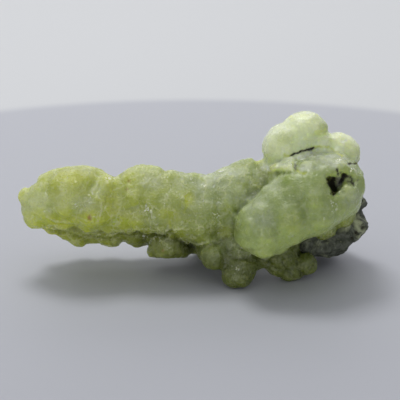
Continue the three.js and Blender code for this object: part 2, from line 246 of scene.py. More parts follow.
def from_middle(pixels, across, down):
    """Distance in pixels from each point to one pixel point."""
    return np.linalg.norm(pixels - (across, down), axis=1)


def depth_inside(pixels, outline):
    """How many pixels inside a closed outline each point is, negative outside."""
    inside = np.zeros(len(pixels), bool)
    closed = list(outline) + [outline[0]]
    for (x0, y0), (x1, y1) in zip(closed, closed[1:]):
        crosses = (y0 > pixels[:, 1]) != (y1 > pixels[:, 1])
        with np.errstate(divide="ignore", invalid="ignore"):
            edge = x0 + (pixels[:, 1] - y0) / (y1 - y0) * (x1 - x0)
        inside ^= crosses & (pixels[:, 0] < edge)
    distance = line_distance(pixels, closed)
    return np.where(inside, distance, -distance)


def surface_tree(piece):
    mesh = piece.data
    return BVHTree.FromPolygons([v.co for v in mesh.vertices], [p.vertices for p in mesh.polygons])


def seen(piece, points, normals):
    """0 where a point is hidden or edge-on to the camera, 1 where it faces the camera."""
    edge_on, facing_fully = 0.03, 0.3
    tree = surface_tree(piece)
    to_camera = view_place - points
    to_camera /= np.linalg.norm(to_camera, axis=1)[:, None]
    facing = step(edge_on, facing_fully, np.einsum("ij,ij->i", normals, to_camera))
    lift = 0.3 * MM
    for n in np.flatnonzero(facing):
        start = Vector(points[n] + normals[n] * lift)
        if tree.ray_cast(start, Vector(to_camera[n]))[0] is not None:
            facing[n] = 0
    return facing


def spread(values, edges, rounds):
    """Each round, a point takes the greatest value among its neighbours."""
    for _ in range(rounds):
        wider = values.copy()
        np.maximum.at(wider, edges[:, 0], values[edges[:, 1]])
        np.maximum.at(wider, edges[:, 1], values[edges[:, 0]])
        values = wider
    return values


# Outlines and lines, in pixels of the photograph

# The two openings of the cavity
HOLE_LEFT = [
    (325.6, 176.6), (329, 177.6), (333.4, 176.4), (336.4, 178.2), (335, 182), (337, 186.4),
    (337.4, 191.4), (333.4, 196.6), (331.2, 193), (331.4, 188), (327.4, 183.4),
]
HOLE_RIGHT = [
    (341, 172.6), (345.2, 172.6), (348, 175.6), (345, 179.6), (340.6, 183.8), (337.8, 185.4),
    (338.6, 181.4), (341.8, 177.4),
]
# Small crystals beside the openings
CRYSTAL_PATCH = [
    (348, 176), (353, 174.6), (358.6, 179), (357.6, 184.4), (354, 187.4), (349.4, 186), (346.4, 182),
]
CRACKS = [
    [(292, 155.4), (297, 153), (303, 150.8), (309, 149.4), (313.5, 148)],
    [(349.5, 163.8), (353, 164), (356.5, 163.2)],
    [(337.2, 169.6), (338.2, 174)],
]
# Hollows between the small lobes at the feet
CREASES = [
    [(300, 252), (298, 260), (299, 268), (303, 276)],
    [(283, 258), (286, 268), (293, 277)],
    [(268, 262), (274, 268), (282, 271)],
    [(221, 250), (223, 259), (224, 267)],
    [(229, 256), (236, 259), (246, 258), (252, 261)],
]
# Fine yellow seams
SEAMS = [
    [(313.5, 147.6), (318, 147.3), (324, 146.2), (330, 147.4), (336, 151), (342, 156)],
    [(294.8, 169.4), (299, 171.4), (303.5, 173.6), (307, 172.4)],
    [(284, 155.5), (291.5, 155.2)],
    [(186, 196), (187, 205), (184, 213)],
    [(170, 221), (171, 227), (173, 231)],
    [(46.5, 219), (52, 222.6), (60, 224.6), (68, 224)],
]
# The pale ledge under the crown, its right end and the groove under it
LEDGE = [
    (269.5, 170.5), (276, 165), (283, 159.5), (291, 155), (296, 157), (295.3, 164), (294.5, 170.3),
    (284, 170.8),
]
LEDGE_END = [(295.3, 164), (294.8, 169.4)]
UNDER_LEDGE = [(266, 174.5), (272, 173.6), (284, 173), (295, 172.6)]
# Thin pale ridges
RIDGES = [
    [(95, 175), (98, 181), (97, 187), (93, 191)],
    [(97, 196), (101, 202), (102, 210), (100, 218), (96, 224)],
    [(119, 208), (120.5, 215), (119, 224), (118, 229)],
    [(47, 216), (52, 219.5), (58, 221.5), (65, 221), (70, 223)],
    [(139, 204), (143, 208), (146, 213), (149, 220), (151, 228)],
    [(151, 211), (152, 216), (153, 222), (158, 228), (162, 232)],
    [(146, 229.5), (153, 231), (158, 232.5), (165, 233), (169, 227)],
    [(171, 227), (176, 229.5), (183, 228.5), (186, 226)],
    [(181, 238), (188, 242), (197, 244.6), (206, 242.4), (217, 239.8)],
    [(126, 184), (135, 186), (147, 183), (151, 178)],
    [(203, 177), (207, 186), (204, 196)],
    [(300, 139), (312, 139), (324, 137), (336, 140), (344, 144)],
]
# The long finger's lower edge, over the thin finger behind it, and the undercut below that edge
LOWER_EDGE = [
    (42.7, 226.2), (54, 228), (66.2, 229.5), (75, 232), (83.2, 233.4), (92, 233), (101.5, 234.7),
    (113.3, 234.7), (121, 230.2), (133, 229.6), (146, 229.5), (156.4, 232.1), (165.6, 232.8), (170, 228.2),
]
UNDERCUT_DROP_PX = 2.6
UNDERCUT = [(across, down + UNDERCUT_DROP_PX) for across, down in LOWER_EDGE]
# Where the long finger's root overhangs the feet
UNDER_ROOT = [(171, 232), (178, 239), (186, 244.5), (197, 248), (207, 246.4), (218, 243.4), (226, 238)]

# Openings: outline, depth in millimetres
OPENINGS = [(HOLE_LEFT, 3.0), (HOLE_RIGHT, 2.6), (CRYSTAL_PATCH, 0.7)]
# Grooves: lines, depth in millimetres, distances in pixels from a line to the groove's edge and floor
GROOVES = [
    (CRACKS, 1.5, 1.5, 0.3), (CREASES + [LEDGE_END], 0.9, 2.6, 0.3), ([UNDER_LEDGE], 0.8, 1.8, 0.3),
    ([UNDERCUT, UNDER_ROOT], 0.6, 2.2, 0.6),
]
# Swellings and dents of the outline: centre and reach in pixels, height in millimetres
SWELLINGS = [
    (27, 206, 15, 0.5), (25, 189, 6, 0.9), (33, 180, 5, -1.2), (30, 222, 9, 0.5), (70, 172, 32, 0.9),
    (110, 176, 12, 0.6), (212, 170, 13, 0.6), (250, 158, 12, -0.4), (259, 160, 7, -1.3), (298, 112, 12, -0.4),
    (323, 128, 8, 1.0), (354, 152, 7, 0.4), (60, 238, 12, 0.4), (75, 245, 10, 0.8), (133, 243, 10, 0.6),
    (19, 200, 9, 0.6), (27, 226, 8, 0.6), (52, 236, 9, 0.6), (68, 163, 9, 0.4), (98, 171, 9, 0.5),
    (186, 170, 20, -0.3), (243, 158, 9, -0.4), (357, 161, 6, 0.8), (364, 174, 7, 0.6), (148, 255, 8, 0.5),
]

# Relief of the form, in millimetres
LUMP_WIDTH, LUMP_HEIGHT = 6.0, 0.55
WAVE_WIDTH, WAVE_HEIGHT = 9.0, 0.2
VALLEY_DEEPENING = 1.2
LEDGE_HEIGHT = 1.0
STUB_SWELLING = 0.6
STUB_REACH = 1.5

# Rounds of smoothing
FORM_ROUNDS = 12
SKIN_ROUNDS = 2
ROCK_ROUNDS = 6
VALLEY_ROUNDS = 12


def sculpt_form(piece):
    """Softens the facets, raises the broad relief, carves openings and grooves, and breaks the stub off."""
    mesh = piece.data
    edges = edges_of(mesh)
    set_points(mesh, smoothed(points_of(mesh), edges, FORM_ROUNDS))
    points, normals = points_of(mesh), normals_of(mesh)
    pixels = pixels_of(points) + wobble(points)
    visible = seen(piece, points, normals)
    sunk = carved_depth(points, pixels) * visible
    rise = form_rise(points, normals, edges, pixels, visible) * (1 - step(0, 0.5, sunk))
    inward = -normals - view_back
    inward /= np.linalg.norm(inward, axis=1)[:, None]
    moved = points + normals * rise[:, None] * MM + inward * sunk[:, None] * MM
    moved = broken_flat(moved)
    moved[:, 2] = np.maximum(moved[:, 2], 0)
    set_points(mesh, moved)


def carved_depth(points, pixels):
    """How deep, in millimetres, the openings and grooves are at each point."""
    depth = np.zeros(len(points))
    rough = 1 + 0.5 * perlin(points, 1.6)
    for outline, deepest in OPENINGS:
        depth = np.maximum(depth, deepest * rough * step(-0.6, 1.6, depth_inside(pixels, outline)))
    for lines, deepest, edge_px, floor_px in GROOVES:
        depth = np.maximum(depth, deepest * near_lines(pixels, lines, edge_px, floor_px))
    return depth


def form_rise(points, normals, edges, pixels, visible):
    """How far, in millimetres, the broad relief lifts each point."""
    valley = valley_depth(points, normals, edges)
    rise = LUMP_HEIGHT * domes(points, LUMP_WIDTH, shift=3.1) * lumpy(points)
    rise += WAVE_HEIGHT * perlin(points, WAVE_WIDTH)
    rise -= VALLEY_DEEPENING * np.clip(valley, -0.15, 0.8)
    rise += LEDGE_HEIGHT * step(-0.2, 0.9, depth_inside(pixels, LEDGE)) * visible
    lower_stub = step(13, 9, points[:, 2] / MM)
    rise += STUB_SWELLING * step(STUB_REACH, 0.5, outside(points, BROKEN_STUB)) * lower_stub
    for across, down, reach, height in SWELLINGS:
        rise += height * step(1.3, 0.2, from_middle(pixels, across, down) / reach)
    return rise


def broken_flat(points):
    """Cuts the stub off at the flat break across it."""
    out = np.array(STUB_BREAK_OUT)
    beyond = np.clip(points @ out / MM - STUB_BREAK_AT, 0, None)
    beyond *= outside(points, BROKEN_STUB) < STUB_REACH
    return points - beyond[:, None] * out * MM


def wobble(points):
    """Small shifts, in pixels, that make the edges of the features ragged."""
    reach_px, width_mm = 1.3, 1.0
    return reach_px * np.stack([perlin(points, width_mm, 2), perlin(points[:, ::-1], width_mm, 2)], 1)


def outside(points, chain):
    """How far, in millimetres, points lie outside a chain of balls."""
    places = points / MM
    nearest = np.full(len(points), np.inf)
    for start, end in zip(chain, chain[1:]):
        start, along = np.array(start), np.array(end) - start
        share = np.clip((places - start[:3]) @ along[:3] / (along[:3] @ along[:3]), 0, 1)
        reach = np.linalg.norm(places - start[:3] - share[:, None] * along[:3], axis=1)
        nearest = np.minimum(nearest, reach - start[3] - share * along[3])
    return nearest


def lumpy(points):
    """How strongly lumps show: least on the stubby finger and the crown, which are smooth."""
    least = 0.25
    from_smooth = np.minimum(outside(points, STUBBY_FINGER), outside(points, CROWN_LOBE))
    return least + (1 - least) * step(0.0, 3.0, from_smooth)


def valley_depth(points, normals, edges):
    """How far, in millimetres, each point lies under the middle of its surroundings."""
    around = points
    for _ in range(VALLEY_ROUNDS):
        around = neighbour_mean(around, edges)
    return np.einsum("ij,ij->i", around - points, normals) / MM


# Patches of colour in the photograph: centre, half width, half height, strength
YELLOW_PATCHES = [
    (36, 218, 14, 9, 0.5), (60, 222, 22, 5, 0.6), (90, 217, 9, 10, 0.35), (70, 176, 16, 8, 0.25),
    (112, 205, 9, 22, 0.3), (130, 218, 18, 12, 0.25), (189, 198, 6, 9, 0.4), (170, 216, 12, 9, 0.25),
    (223, 232, 8, 6, 0.25), (345, 145, 8, 9, 0.3), (275, 160, 8, 8, 0.3), (318, 133, 5, 6, 0.4),
]
PALE_PATCHES = [
    (32, 203, 20, 27, 0.45), (66, 203, 22, 16, 0.25), (324, 140, 24, 7, 0.6), (325, 160, 30, 11, 0.22),
    (147, 170, 16, 6, 0.25), (232, 170, 18, 6, 0.25), (205, 181, 12, 8, 0.3), (97, 190, 9, 10, 0.3),
    (338, 182, 5, 8, 0.7), (347, 196, 10, 12, 0.2), (157, 222, 14, 9, 0.2),
]
# Painted shade: dark in the hollows under the overhangs, faint on some upper surfaces to tone down the lamp's
# light
PAINTED_SHADE_PATCHES = [
    (190, 246, 6, 4, 1.0), (196, 252, 7, 6, 0.7), (234, 232, 5, 15, 0.55), (262, 262, 12, 4, 0.7),
    (248, 251, 8, 4, 0.5), (262, 177, 5, 12, 0.45), (200, 237, 20, 5, 0.25), (214, 231, 13, 7, 0.4),
    (168, 251, 15, 8, 0.4), (75, 172, 30, 8, 0.16), (142, 171, 24, 7, 0.1), (315, 165, 17, 7, 0.15),
    (243, 163, 16, 6, 0.1), (292, 205, 22, 12, 0.08),
]
RUST_SPOTS = [
    (89.5, 217.5, 2.2, 3.6, 1.0), (129, 181, 1.8, 1.4, 0.8), (163, 250, 1.6, 1.2, 0.7),
    (127, 189, 1.4, 1.4, 0.5), (337, 181, 1.8, 5, 0.3),
]
GREY_PATCHES = [
    (314, 157, 16, 6, 0.9), (334, 160, 16, 9, 0.8), (306, 168, 12, 5, 0.5), (247, 198, 14, 12, 0.55),
    (262, 215, 16, 14, 0.35), (354, 197, 9, 14, 0.5), (232, 176, 16, 8, 0.4), (208, 180, 14, 9, 0.5),
    (150, 184, 14, 8, 0.4), (84, 205, 14, 10, 0.4), (338, 182, 4, 7, 1.0),
]
# Where the painted glints gather
GLINT_PATCHES = [
    (87, 167, 3, 2, 1.0), (111, 178, 9, 3, 1.0), (93, 195, 6, 3, 1.0), (63, 200, 3, 2, 1.0),
    (75, 207, 4, 3, 1.0), (66, 178, 2, 2, 1.0), (165, 177, 3, 2, 1.0), (148, 209, 5, 6, 0.8),
    (193, 180, 4, 3, 1.0), (204, 184, 4, 4, 1.0), (203, 204, 4, 4, 1.0), (223, 172, 8, 4, 1.0),
    (216, 214, 4, 8, 0.7), (338, 158, 7, 5, 1.0), (318, 150, 12, 4, 0.8), (334, 206, 6, 8, 0.7),
    (352, 170, 6, 3, 1.0), (286, 198, 6, 3, 0.7), (156, 240, 5, 4, 0.7), (235, 270, 5, 6, 0.7),
]


def patches(places, pixels):
    """The sum of soft-edged oval patches."""
    edge, middle = 1.3, 0.3
    total = np.zeros(len(pixels))
    for across, down, half_width, half_height, strength in places:
        reach = np.linalg.norm((pixels - (across, down)) / (half_width, half_height), axis=1)
        total += strength * step(edge, middle, reach)
    return total


def yellowness(points, pixels, visible):
    """Strongest at the tip of the long finger, and in patches."""
    from_tip = (points[:, 0] - cad_box[0].x) / (cad_box[1].x - cad_box[0].x)
    broad = 0.65 * step(0.62, 0.1, from_tip) + 0.2 * perlin(points, 11.0, 2)
    return broad + patches(YELLOW_PATCHES, pixels) * visible


def olive_and_painted_shade(points, pixels, visible):
    """Up to 1 on the dark olive rear finger, stub and feet, partly their own colour and partly painted shade
    under the overhangs; less in the painted shade under the long finger's edge and root and in the shade
    patches.
    """
    across, _, height = (points / MM).T
    limbs = step(1.5, 0.0, np.minimum(outside(points, REAR_FINGER), outside(points, BROKEN_STUB)))
    limbs *= step(0.1, 0.8, outside(points, LONG_FINGER))
    limbs *= 0.5 + 0.5 * step(-24, -10, across)
    # Low on the feet: partly their own olive, partly painted shade under the overhang
    feet = step(14, 7, height) * step(-12, -2, across)
    # Painted shade under the long finger's lower edge and root, and in the shade patches
    undercut = 0.5 * near_lines(pixels, [UNDERCUT], 3.4, 1.0)
    root_shade = 0.6 * near_lines(pixels, [UNDER_ROOT], 4.2, 1.0)
    in_view = np.max([undercut, root_shade, patches(PAINTED_SHADE_PATCHES, pixels)], axis=0) * visible
    return np.max([limbs, feet, in_view], axis=0)


def paleness(points, pixels, visible):
    """Nearly 1 on the crown and side lobe, weaker towards the back, on the ledge and in patches."""
    crown = step(2.5, 0.0, outside(points, CROWN_LOBE))
    side = step(2.0, 0.0, outside(points, SIDE_LOBE))
    strength = 0.95 - 0.45 * step(3, 10, points[:, 1] / MM)
    lobes = strength * np.maximum(crown, side) + patches(PALE_PATCHES, pixels) * visible
    ledge = step(-1.0, 0.4, depth_inside(pixels, LEDGE)) * visible
    return np.maximum(lobes, 0.75 * ledge)


def dark_filling(points, pixels, visible):
    """1 in the cracks and the openings, less between the small crystals and beside the ledge."""
    blotches = perlin(points, 1.1, 2)
    soil = near_lines(pixels, CRACKS, 1.5, 0.7, 0.8 * blotches)
    for outline in (HOLE_LEFT, HOLE_RIGHT):
        soil = np.maximum(soil, step(-0.8, 0.6, depth_inside(pixels, outline) + 1.2 * blotches))
    crystals = step(-0.5, 1.5, depth_inside(pixels, CRYSTAL_PATCH)) * visible
    soil = np.maximum(soil, 0.95 * crystals * step(-0.1, 0.12, blotches))
    return np.maximum(soil, 0.7 * near_lines(pixels, [LEDGE_END], 1.6, 0.6) * visible)


# Relief of the skin, in millimetres
BEAD_WIDTH, BEAD_HEIGHT = 2.7, 0.22
CRYSTAL_WIDTH, CRYSTAL_HEIGHT = 1.6, 0.22
GRAIN_WIDTH, GRAIN_HEIGHT = 1.3, 0.05
RIDGE_HEIGHT = 0.28
SEAM_DEPTH = 0.3
# How strongly a valley's depth in millimetres shows as painted shade in its colour
VALLEY_SHADE_CONTRAST = 1.6
# Rounds in which the near-black fill spreads into the hidden parts of the openings
DARK_FILL_SPREAD = 8


def sculpt_skin(piece):
    """Small lumps, crystal faces, ridges, seams and grain, and the values that the material reads."""
    mesh = piece.data
    edges = edges_of(mesh)
    set_points(mesh, smoothed(points_of(mesh), edges, SKIN_ROUNDS))
    points, normals = points_of(mesh), normals_of(mesh)
    pixels = pixels_of(points) + wobble(points)
    visible = seen(piece, points, normals)
    beads = domes(points, BEAD_WIDTH, shift=8.4)
    crystals = crystal_faces(points, CRYSTAL_WIDTH, shift=5.2)
    grain = perlin(points, GRAIN_WIDTH, 2)
    ridge = near_lines(pixels, RIDGES + [LOWER_EDGE], 1.7, 0.3) * visible
    seam = near_lines(pixels, SEAMS, 1.6, 0.3) * visible
    rise = lumpy(points) * (BEAD_HEIGHT * beads + CRYSTAL_HEIGHT * crystals) + GRAIN_HEIGHT * grain
    rise += RIDGE_HEIGHT * ridge * (1 + grain) - SEAM_DEPTH * seam
    moved = points + normals * rise[:, None] * MM
    moved[:, 2] = np.maximum(moved[:, 2], 0)
    set_points(mesh, moved)
    attribute(mesh, "soil", dark_filling(points, pixels, visible) * spread(visible, edges, DARK_FILL_SPREAD))
    attribute(mesh, "ridge", ridge)
    attribute(mesh, "seam", seam)
    attribute(mesh, "glint", patches(GLINT_PATCHES, pixels) * visible)
    attribute(mesh, "grey", patches(GREY_PATCHES, pixels) * visible)
    attribute(mesh, "rust", patches(RUST_SPOTS, pixels) * visible)
    attribute(mesh, "clear", step(2.0, 0.5, outside(points, STUBBY_FINGER)))
    # Valley depth, which the material shows as painted shade
    attribute(mesh, "valley", VALLEY_SHADE_CONTRAST * valley_depth(points, normals, edges))
    attribute(mesh, "yellow", yellowness(points, pixels, visible))
    # Deep olive: partly the limbs' own colour, partly painted shade
    attribute(mesh, "deep", olive_and_painted_shade(points, pixels, visible))
    attribute(mesh, "pale", paleness(points, pixels, visible))


def make_prehnite():
    piece = fine_copy("prehnite", "prehnite_skin", PREHNITE_VOXEL_MM)
    sculpt_form(piece)
    remesh(piece, PREHNITE_VOXEL_MM)
    sculpt_skin(piece)
    piece.data.shade_smooth()
    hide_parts("prehnite")
    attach(piece, "root")
    return piece


# Pale crusts on the rock, as outlines in pixels of the photograph
CRUSTS = [
    [
        (351, 219), (355, 214.5), (361, 213.5), (366, 219), (367.5, 228), (364, 237), (358, 239), (354, 233),
        (355, 226),
    ],
    [(343, 219), (350, 213), (353, 219), (350, 228), (344, 231)],
    [(352, 165), (358, 166), (361, 170), (356, 172)],
]
# Knobs: centre and reach in pixels, height in millimetres
KNOBS = [(366, 204, 7, 2.2), (366, 223, 12, 1.1)]
# Pits: centre and reach in pixels
ROCK_PITS = [
    (360.5, 216.5, 2.0), (361.5, 227, 2.2), (356.5, 233, 2.2), (352, 239.5, 1.8), (359.5, 221.5, 1.3),
]
# Relief of the rock, in millimetres. Broken faces: width, shift of the pattern, height
BROKEN_FACES = [(3.6, 1.7, 1.0), (1.5, 4.9, 0.4)]
ROCK_GRAIN_WIDTH, ROCK_GRAIN_HEIGHT = 1.4, 0.12
CRUST_HEIGHT = 0.3
PIT_DEPTH = 1.2
ROCK_CLEARANCE = 0.2
# How deep the rock reaches into the prehnite, and the gap between them from which it is drawn up to it
OVERLAP_MM = 0.4
GAP_MM = (3.0, 1.6)


def drawn_up(points, grown_on):
    """Points near the prehnite moved to just under its surface."""
    tree = surface_tree(grown_on)
    overlap = OVERLAP_MM * MM
    drawn = points.copy()
    for n, point in enumerate(points):
        nearest, _, _, distance = tree.find_nearest(Vector(point))
        pull = float(step(*GAP_MM, distance / MM))
        if pull > 0:
            drawn[n] += (np.array(nearest) - point) / distance * (distance + overlap) * pull
    return drawn


def sculpt_rock(piece, grown_on):
    """Draws the rock up to the prehnite that grew on it, breaks its surface into faces and pits it."""
    mesh = piece.data
    set_points(mesh, smoothed(points_of(mesh), edges_of(mesh), ROCK_ROUNDS))
    normals = normals_of(mesh)
    points = drawn_up(points_of(mesh), grown_on)
    pixels = pixels_of(points)
    visible = seen(piece, points, normals)
    crust = 0.55 * step(0.1, 0.5, perlin(points, 4.0, 2))
    for outline in CRUSTS:
        crust = np.maximum(crust, step(-1.0, 1.0, depth_inside(pixels, outline)) * visible)
    pit = np.zeros(len(points))
    for across, down, reach in ROCK_PITS:
        pit = np.maximum(pit, step(1.3, 0.4, from_middle(pixels, across, down) / reach) * visible)
    rise = np.zeros(len(points))
    for width, shift, height in BROKEN_FACES:
        rise += height * crystal_faces(points, width, shift)
    rise += ROCK_GRAIN_HEIGHT * perlin(points, ROCK_GRAIN_WIDTH, 3)
    for across, down, reach, height in KNOBS:
        rise += height * step(1.2, 0.2, from_middle(pixels, across, down) / reach)
    rise += CRUST_HEIGHT * crust * (1 + perlin(points, 0.9)) - PIT_DEPTH * pit
    moved = points + normals * rise[:, None] * MM
    moved[:, 2] = np.maximum(moved[:, 2], ROCK_CLEARANCE * MM)
    set_points(mesh, moved)
    attribute(mesh, "crust", crust - 0.9 * pit)
    attribute(mesh, "pit", pit)


def make_rock(grown_on):
    piece = fine_copy("host_rock", "host_rock_skin", ROCK_VOXEL_MM)
    sculpt_rock(piece, grown_on)
    piece.data.shade_smooth()
    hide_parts("host_rock")
    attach(piece, "root")
    return piece


# Materials

class Graph:
    """A material's nodes."""

    def __init__(self, name):
        self.material = bpy.data.materials.new(name)
        self.material.use_nodes = True
        self.nodes = self.material.node_tree.nodes
        self.links = self.material.node_tree.links
        self.shader = self.nodes["Principled BSDF"]
        self.place = self.node("TexCoord").outputs["Object"]

    def node(self, kind, inputs=(), **settings):
        """Adds a node; a value for one of its inputs is a number, a colour or another node's output."""
        made = self.nodes.new("ShaderNode" + kind)
        for name, value in settings.items():
            setattr(made, name, value)
        for name, value in dict(inputs).items():
            self.feed(made.inputs[name], value)
        return made

    def feed(self, socket, value):
        if isinstance(value, bpy.types.NodeSocket):
            self.links.new(value, socket)
        elif isinstance(value, tuple) and len(value) == 3 and len(socket.default_value) == 4:
            socket.default_value = (*value, 1)
        else:
            socket.default_value = value

    def math(self, operation, a, b=0.0, c=0.0, clamp=False):
        return self.node("Math", {0: a, 1: b, 2: c}, operation=operation, use_clamp=clamp).outputs[0]

    def mix(self, share, a, b):
        return self.node("Mix", {"Factor": share, 6: a, 7: b}, data_type="RGBA").outputs[2]

    def ramp(self, value, low, high, to_low=0.0, to_high=1.0):
        """Goes smoothly from one number to another as the value goes from low to high."""
        inputs = {"Value": value, "From Min": low, "From Max": high, "To Min": to_low, "To Max": to_high}
        return self.node("MapRange", inputs, interpolation_type="SMOOTHSTEP").outputs["Result"]

    def noise(self, width_mm, detail=2.0, distortion=0.0, place=None):
        inputs = {"Vector": place or self.place, "Scale": 1 / (width_mm * MM), "Detail": detail,
                  "Roughness": 0.55, "Distortion": distortion}
        return self.node("TexNoise", inputs).outputs["Fac"]

    def voronoi(self, width_mm, feature="F1", place=None):
        inputs = {"Vector": place or self.place, "Scale": 1 / (width_mm * MM)}
        return self.node("TexVoronoi", inputs, feature=feature)

    def warped(self, width_mm, reach_mm):
        """The place in the object, shifted this way and that."""
        inputs = {"Vector": self.place, "Scale": 1 / (width_mm * MM), "Detail": 1.0}
        color = self.node("TexNoise", inputs).outputs["Color"]
        way = self.node("VectorMath", {0: color, 1: (0.5, 0.5, 0.5)}, operation="SUBTRACT").outputs[0]
        shift = self.node("VectorMath", {0: way, "Scale": 2 * reach_mm * MM}, operation="SCALE").outputs[0]
        return self.node("VectorMath", {0: self.place, 1: shift}, operation="ADD").outputs[0]

    def stretched(self, place, shares):
        return self.node("VectorMath", {0: place, 1: shares}, operation="MULTIPLY").outputs[0]

    def contours(self, width_mm, thickness):
        """1 on thin winding lines about that far apart, 0 elsewhere."""
        off_level = self.math("SUBTRACT", self.noise(width_mm, 2.0, 0.5), 0.5)
        return self.ramp(self.math("ABSOLUTE", off_level), thickness, 0.0)

    def attribute(self, name):
        return self.node("Attribute", attribute_name=name).outputs["Fac"]

    def bump(self, height, distance_mm, normal=None):
        inputs = {"Height": height, "Distance": distance_mm * MM}
        if normal:
            inputs["Normal"] = normal
        return self.node("Bump", inputs).outputs["Normal"]


def facing_up(graph):
    normal = graph.node("NewGeometry").outputs["Normal"]
    return graph.node("SeparateXYZ", {0: normal}).outputs["Z"]


def faceted_normal(graph, width_mm, lean):
    """The surface's normal, leaning its own way on each small crystal face."""
    color = graph.voronoi(width_mm).outputs["Color"]
    way = graph.node("VectorMath", {0: color, 1: (0.5, 0.5, 0.5)}, operation="SUBTRACT").outputs[0]
    shift = graph.node("VectorMath", {0: way, "Scale": lean}, operation="SCALE").outputs[0]
    normal = graph.node("NewGeometry").outputs["Normal"]
    summed = graph.node("VectorMath", {0: normal, 1: shift}, operation="ADD").outputs[0]
    return graph.node("VectorMath", {0: summed}, operation="NORMALIZE").outputs[0]


# Widths of the skin's crystal faces and of its painted glints, and the height of its finest relief
FACET_MM = 0.5
PAINTED_GLINT_MM = 0.42
FINE_RELIEF_MM = 0.28

# Colours of the prehnite
# Deep olive: the limbs' own colour, and also painted shade in valleys, undercuts and under overhangs
DEEP_OLIVE_AND_SHADE = (0.085, 0.105, 0.005)
BODY_GREEN = (0.28, 0.35, 0.02)
BODY_YELLOW = (0.58, 0.64, 0.035)
BODY_CLEAR = (0.28, 0.36, 0.115)
# Painted light: bright colours for undersides, standing in for light shining through the stone
PAINTED_GLOW_YELLOW = (0.57, 0.65, 0.05)
PAINTED_GLOW_GREEN = (0.51, 0.62, 0.20)
# Pale frosted skin, which is also the painted top light on up-facing surfaces
FROST_AND_TOP_LIGHT_GREEN = (0.37, 0.43, 0.22)
FROST_AND_TOP_LIGHT_YELLOW = (0.54, 0.57, 0.11)
FROST_GREY = (0.45, 0.49, 0.37)
CROWN_PALE = (0.75, 0.815, 0.545)
VEIN = (0.74, 0.77, 0.46)
# Near white of the painted glints
PAINTED_GLINT_WHITE = (0.92, 0.94, 0.82)
# Near black in the cracks, the openings and the rock's pits
DARK_FILL = (0.034, 0.03, 0.015)
RUST = (0.32, 0.17, 0.03)


def frost_and_painted_light(graph, cloud, mottle, fibres):
    """How pale the skin is: frost in clouds and along the fibres, painted top light that makes it most pale
    where it faces up, and painted shade that makes it least pale in valleys.
    """
    # Painted top light: paler the more the surface faces up
    frost = graph.ramp(facing_up(graph), -0.7, 0.8, 0.0, 0.44)
    frost = graph.math("MULTIPLY_ADD", graph.ramp(cloud, 0.35, 0.65), 0.35, frost)
    frost = graph.math("MULTIPLY_ADD", graph.ramp(mottle, 0.35, 0.68), 0.1, frost)
    frost = graph.math("MULTIPLY_ADD", graph.ramp(fibres, 0.35, 0.65), 0.2, frost)
    # Painted shade: less pale in valleys
    return graph.math("MULTIPLY_ADD", graph.attribute("valley"), -0.7, frost, clamp=True)


def veining(graph, mottle, plain):
    """Pale outlines round the lobes and thin wrinkles, weaker where the skin is plain, and the ridges."""
    outlines = graph.voronoi(3.4, "DISTANCE_TO_EDGE", graph.warped(1.6, 1.6)).outputs["Distance"]
    in_places = graph.ramp(graph.noise(4.0, 1.0), 0.45, 0.6)
    outlines = graph.math("MULTIPLY", graph.ramp(outlines, 0.09, 0.02), in_places)
    in_places = graph.ramp(graph.noise(2.8, 1.0), 0.48, 0.6)
    wrinkles = graph.math("MULTIPLY", graph.contours(1.8, 0.03), in_places)
    veins = graph.math("MAXIMUM", outlines, wrinkles)
    veins = graph.math("MULTIPLY", veins, graph.math("MULTIPLY_ADD", plain, -0.35, 0.5))
    ridges = graph.math("MULTIPLY", graph.attribute("ridge"), graph.ramp(mottle, 0.4, 0.62, 0.0, 0.6))
    return graph.math("MAXIMUM", veins, ridges)


def painted_glint_share(graph):
    """1 on painted glints, white specks standing for light caught by crystal faces, scattered here and there
    and gathered in the glinting patches.
    """
    glint_cells = graph.node("SeparateXYZ", {0: graph.voronoi(PAINTED_GLINT_MM).outputs["Color"]}).outputs["X"]
    scattered = graph.ramp(graph.noise(3.4, 2.0), 0.62, 0.72, 0.0, 0.5)
    glint_places = graph.math("MAXIMUM", scattered, graph.attribute("glint"))
    return graph.math("MULTIPLY", graph.ramp(glint_cells, 0.83, 0.86), glint_places)


def body_color(graph, cloud, mottle, fibres):
    """The stone's own colours, with painted top light, painted brightening of undersides and painted shade,
    before its veins, painted glints and near-black fill.
    """
    yellow, clear, valley = (graph.attribute(name) for name in ("yellow", "clear", "valley"))
    body = graph.mix(yellow, BODY_GREEN, BODY_YELLOW)
    skin = graph.mix(yellow, FROST_AND_TOP_LIGHT_GREEN, FROST_AND_TOP_LIGHT_YELLOW)
    color = graph.mix(frost_and_painted_light(graph, cloud, mottle, fibres), body, skin)
    clearing = graph.math("MULTIPLY", clear, graph.ramp(cloud, 0.3, 0.6, 0.85, 0.5))
    color = graph.mix(clearing, color, BODY_CLEAR)
    paling = graph.math("MULTIPLY", graph.attribute("pale"), graph.ramp(mottle, 0.25, 0.6, 0.82, 0.95))
    color = graph.mix(paling, color, CROWN_PALE)
    thin = graph.math("MAXIMUM", yellow, clear)
    # Painted light: undersides of the yellow and clear parts brightened, as if lit through the stone
    painted_underside_light = graph.math("MULTIPLY", thin, graph.ramp(facing_up(graph), 0.3, -0.6, 0.0, 0.75))
    color = graph.mix(painted_underside_light, color, graph.mix(clear, PAINTED_GLOW_YELLOW, PAINTED_GLOW_GREEN))
    # Painted shade: valleys darkened towards the deep olive
    color = graph.mix(graph.ramp(valley, 0.25, 1.0, 0.0, 0.6), color, DEEP_OLIVE_AND_SHADE)
    greying = graph.math("MULTIPLY", graph.attribute("grey"), graph.ramp(mottle, 0.3, 0.6, 0.4, 1.0))
    color = graph.mix(greying, color, FROST_GREY)
    # Deep olive: partly the limbs' own colour, partly painted shade
    return graph.mix(graph.math("MULTIPLY", graph.attribute("deep"), 0.85), color, DEEP_OLIVE_AND_SHADE)


